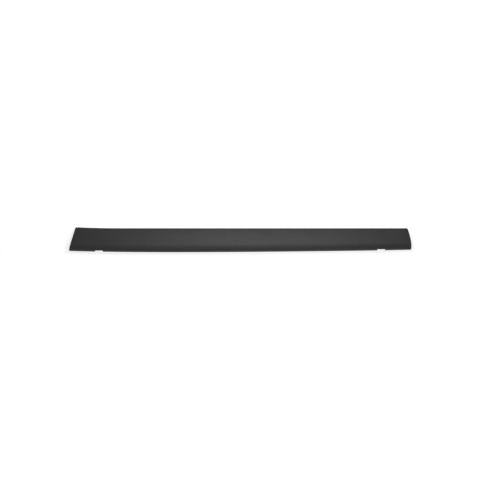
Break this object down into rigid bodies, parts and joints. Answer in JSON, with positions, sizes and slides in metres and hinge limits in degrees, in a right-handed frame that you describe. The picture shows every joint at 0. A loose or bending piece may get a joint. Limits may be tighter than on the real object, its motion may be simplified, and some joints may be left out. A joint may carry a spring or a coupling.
{
  "type": "rocker panel moulding",
  "caption": "Long moulded plastic cover for a vehicle sill: gently bowed face, rolled lower edge, raked and curved ends, clip seats behind the upper edge.",
  "frame": {"origin": "centre of the bounding box in plan, in the plane of the rims that meet the vehicle body", "axes": "+X along the sill from the raked end to the curved end, +Y up on the vehicle, +Z outboard; stored lying on its rims with its face up"},
  "size_m": [1.7388, 0.1274, 0.0562],
  "materials": {
    "moulded_plastic": "dark grey grained thermoplastic, as moulded, unpainted"
  },
  "bodies": {
    "root": {"rocker_moulding": "moulded_plastic"}
  },
  "joints": []
}
